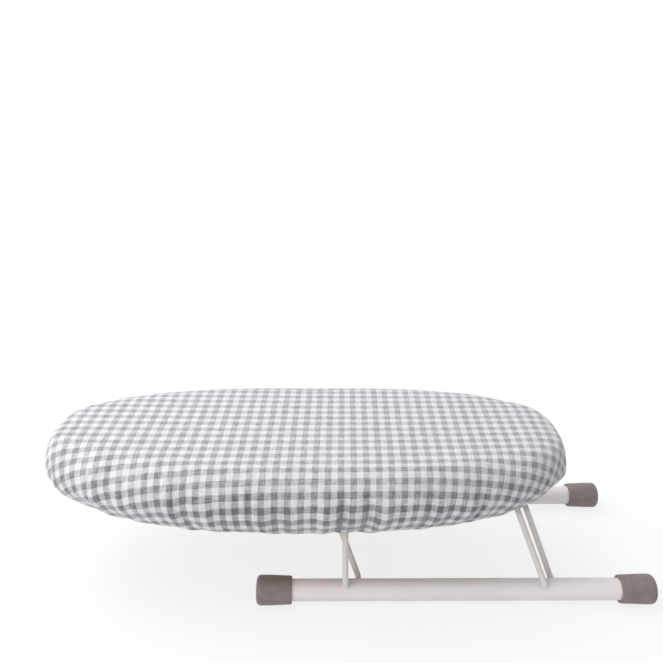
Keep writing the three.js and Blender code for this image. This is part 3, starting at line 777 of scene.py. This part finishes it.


# Foot tubes: two lengths of white coated steel tube with a thin wall. Each has a hole in its inner
# side for each leg's stub, drawn as a dimple whose edge is drawn in by a bell, exp(-(off /
# radius)^4).
TUBE_START, TUBE_END = -0.0782, 0.2822
TUBE_WALL = 0.0012
LEG_PIVOTS = (0.012, 0.196)
HOLE_RADIUS, HOLE_DRAW = 0.0042, 0.0011
TUBE_ROWS, TUBE_COLUMNS = 361, 72
tube_coat = powder_coat("tube_powder_coat", (0.810, 0.752, 0.758), (0.860, 0.802, 0.808))
outer_along = np.linspace(TUBE_START, TUBE_END, TUBE_ROWS)
tube_along = np.concatenate([outer_along, [TUBE_END, TUBE_START]])[:, None]
tube_angle = np.linspace(0, 2 * np.pi, TUBE_COLUMNS, endpoint=False)
for end, side in (("front", -1), ("rear", 1)):
    inner_side = 0.0 if side < 0 else np.pi
    across = TUBE_RADIUS * ((tube_angle - inner_side + np.pi) % (2 * np.pi) - np.pi)
    radius = np.full((len(tube_along), TUBE_COLUMNS), TUBE_RADIUS)
    for pivot in LEG_PIVOTS:
        off = np.hypot(tube_along - pivot, across[None, :])
        radius -= HOLE_DRAW * np.exp(-(off / HOLE_RADIUS) ** 4)
    radius[-2:] = TUBE_RADIUS - TUBE_WALL
    tube_y = side * FOOT_Y + radius * np.cos(tube_angle)
    tube_z = FOOT_LEVEL + radius * np.sin(tube_angle)
    tube_grid = np.stack(np.broadcast_arrays(tube_along, tube_y, tube_z), axis=-1)
    tube = skin(f"{end}_foot_steel_tube", tube_grid, False, False, close_rows=True)
    place_piece(tube, tube_coat, "feet", "white_tube", f"{end}_foot_tube")


# End caps: hollow cups of grey-brown moulded plastic pushed over each tube end. The walls taper
# to the mouth, the end is near flat with a rounded corner, and the board stands on the caps.
FOOT_LEFT, FOOT_RIGHT = -0.0835, 0.2875
CAP_COLUMNS = 96
MOULD_GRAIN_PER_METRE, MOULD_GRAIN_DEPTH = 2200.0, 0.00008
SCUFFS_PER_METRE = 120.0
# The profile from the middle of the end to the bottom of the bore, as (along, radius).
CAP_PROFILE = np.array([
    (0.0, 0.0015), (0.0001, 0.0045), (0.0002, 0.0075), (0.0004, 0.0096), (0.0007, 0.0110),
    (0.0011, 0.0119), (0.0017, 0.0126), (0.0025, 0.0131), (0.0042, 0.0135), (0.0090, 0.0135),
    (0.0140, 0.0134), (0.0190, 0.0132), (0.0230, 0.01305), (0.0265, 0.0129), (0.0290, 0.01285),
    (0.0308, 0.0128), (0.0318, 0.01268), (0.0325, 0.01245), (0.0329, 0.0121), (0.0330, 0.0115),
    (0.0330, 0.0105), (0.0326, 0.01005), (0.0290, 0.01005), (0.0050, 0.01005),
])
cap_along, cap_radius = CAP_PROFILE.T[:, :, None]
cap_angle = np.linspace(0, 2 * np.pi, CAP_COLUMNS, endpoint=False)

cap_plastic, tree, shader = new_finish("cap_plastic", {"Specular IOR Level": 0.4})
place = object_place(tree)
mould_grain = noise(tree, place, MOULD_GRAIN_PER_METRE, 2.0)
scuff = noise(tree, place, SCUFFS_PER_METRE, 4.0)
cap_colour = ramp(tree, scuff, [(0.3, (0.205, 0.167, 0.159)), (0.7, (0.255, 0.211, 0.203))])
tree.links.new(cap_colour, shader.inputs["Base Color"])
tree.links.new(spread(tree, scuff, 0.3, 0.7, 0.60, 0.46), shader.inputs["Roughness"])
raise_bump(tree, shader, mould_grain, MOULD_GRAIN_DEPTH, 0.6)
for end, side in (("front", -1), ("rear", 1)):
    cap_y = side * FOOT_Y + cap_radius * np.cos(cap_angle)
    cap_z = np.maximum(FOOT_LEVEL + cap_radius * np.sin(cap_angle), 0.0)
    for which, start, way in (("left", FOOT_LEFT, 1), ("right", FOOT_RIGHT, -1)):
        cap_places = np.broadcast_arrays(start + way * cap_along, cap_y, cap_z)
        cap = skin(f"{end}_{which}_end_cap", np.stack(cap_places, axis=-1))
        place_piece(cap, cap_plastic, "feet", "cap_plastic", f"{end}_{which}_cap")


# Floor, backdrop and light: a wide pale floor that fades to white, a large soft lamp overhead,
# a weaker one in front and even white light from all round.
FLOOR_HALF = 4.0
FADE_START, FADE_END, FADE_LOW = 0.25, 0.80, 0.78
ROOM_LIGHT = 0.50
floor_side = np.linspace(-FLOOR_HALF, FLOOR_HALF, 3)
floor_x, floor_y = np.meshgrid(floor_side, floor_side)
floor_points = np.stack([floor_x, floor_y, np.zeros_like(floor_x)], axis=-1).reshape(-1, 3)
floor_faces = [[0, 1, 4, 3], [1, 2, 5, 4], [3, 4, 7, 6], [4, 5, 8, 7]]
floor_mesh = bpy.data.meshes.new("floor")
floor_mesh.from_pydata(floor_points.tolist(), [], floor_faces)
floor = bpy.data.objects.new("floor", floor_mesh)
bpy.context.collection.objects.link(floor)


def looked_at(tree):
    """1 on rays that look at a surface, straight or in a reflection, and 0 on rays that light
    it."""
    rays = add_node(tree, "ShaderNodeLightPath").outputs
    straight = worked(tree, "MAXIMUM", rays["Is Camera Ray"], rays["Is Glossy Ray"])
    return worked(tree, "MAXIMUM", straight, rays["Is Transmission Ray"])


floor_sockets = {"Base Color": (0.9, 0.9, 0.9, 1.0), "Roughness": 0.9}
pale_floor, tree, shader = new_finish("pale_floor", floor_sockets)
middle_off = add_node(tree, "ShaderNodeVectorMath", {0: object_place(tree)}, operation="LENGTH")
floor_fade = spread(tree, middle_off.outputs["Value"], FADE_START, FADE_END, FADE_LOW, 1.0)
white = add_node(tree, "ShaderNodeEmission", {"Color": (1, 1, 1, 1), "Strength": 1.0})
glow = worked(tree, "MULTIPLY", floor_fade, looked_at(tree))
layers = {0: glow, 1: shader.outputs["BSDF"], 2: white.outputs["Emission"]}
mixed = add_node(tree, "ShaderNodeMixShader", layers)
tree.links.new(mixed.outputs["Shader"], tree.nodes["Material Output"].inputs["Surface"])
floor_mesh.materials.append(pale_floor)

world = bpy.data.worlds.new("white_room")
bpy.context.scene.world = world
world.use_nodes = True
tree = world.node_tree
background = tree.nodes["Background"]
background.inputs["Color"].default_value = (1.0, 1.0, 1.0, 1.0)
room_level = spread(tree, looked_at(tree), 0.0, 1.0, ROOM_LIGHT, 1.0)
tree.links.new(room_level, background.inputs["Strength"])

LAMP_AIM = Vector((-0.02, 0.0, 0.08))
OVERHEAD_PLACE = Vector((-0.62, 0.35, 1.30))
FRONT_PLACE = Vector((-1.05, -1.15, 0.85))
overhead = bpy.data.lights.new("overhead", "AREA")
overhead.shape = "RECTANGLE"
overhead.size, overhead.size_y = 1.6, 1.2
overhead.energy = 19.6
front_fill = bpy.data.lights.new("front_fill", "AREA")
front_fill.size = 1.4
front_fill.energy = 9.8
for light, stand in ((overhead, OVERHEAD_PLACE), (front_fill, FRONT_PLACE)):
    lamp = bpy.data.objects.new(light.name, light)
    aimed = (LAMP_AIM - stand).to_track_quat("-Z", "Y").to_matrix().to_4x4()
    lamp.matrix_world = Matrix.Translation(stand) @ aimed
    bpy.context.collection.objects.link(lamp)

FOCAL_PIXELS, PICTURE_PIXELS = 690.05, 663
SENSOR_WIDTH = 36.0
CAMERA_PLACE = (-0.0195, -0.5855, 0.4730)
CAMERA_PITCH, CAMERA_YAW, CAMERA_ROLL = 0.3751, -0.0096, 0.0039
camera = bpy.data.cameras.new("camera")
camera.sensor_width = SENSOR_WIDTH
camera.lens = FOCAL_PIXELS / PICTURE_PIXELS * SENSOR_WIDTH
camera.clip_start = 0.01
camera_object = bpy.data.objects.new("camera", camera)
turned = Matrix.Rotation(CAMERA_YAW, 4, "Z") @ Matrix.Rotation(np.pi / 2 - CAMERA_PITCH, 4, "X")
rolled = turned @ Matrix.Rotation(CAMERA_ROLL, 4, "Z")
camera_object.matrix_world = Matrix.Translation(CAMERA_PLACE) @ rolled
bpy.context.collection.objects.link(camera_object)
bpy.context.scene.camera = camera_object
bpy.context.scene.view_settings.view_transform = "Standard"
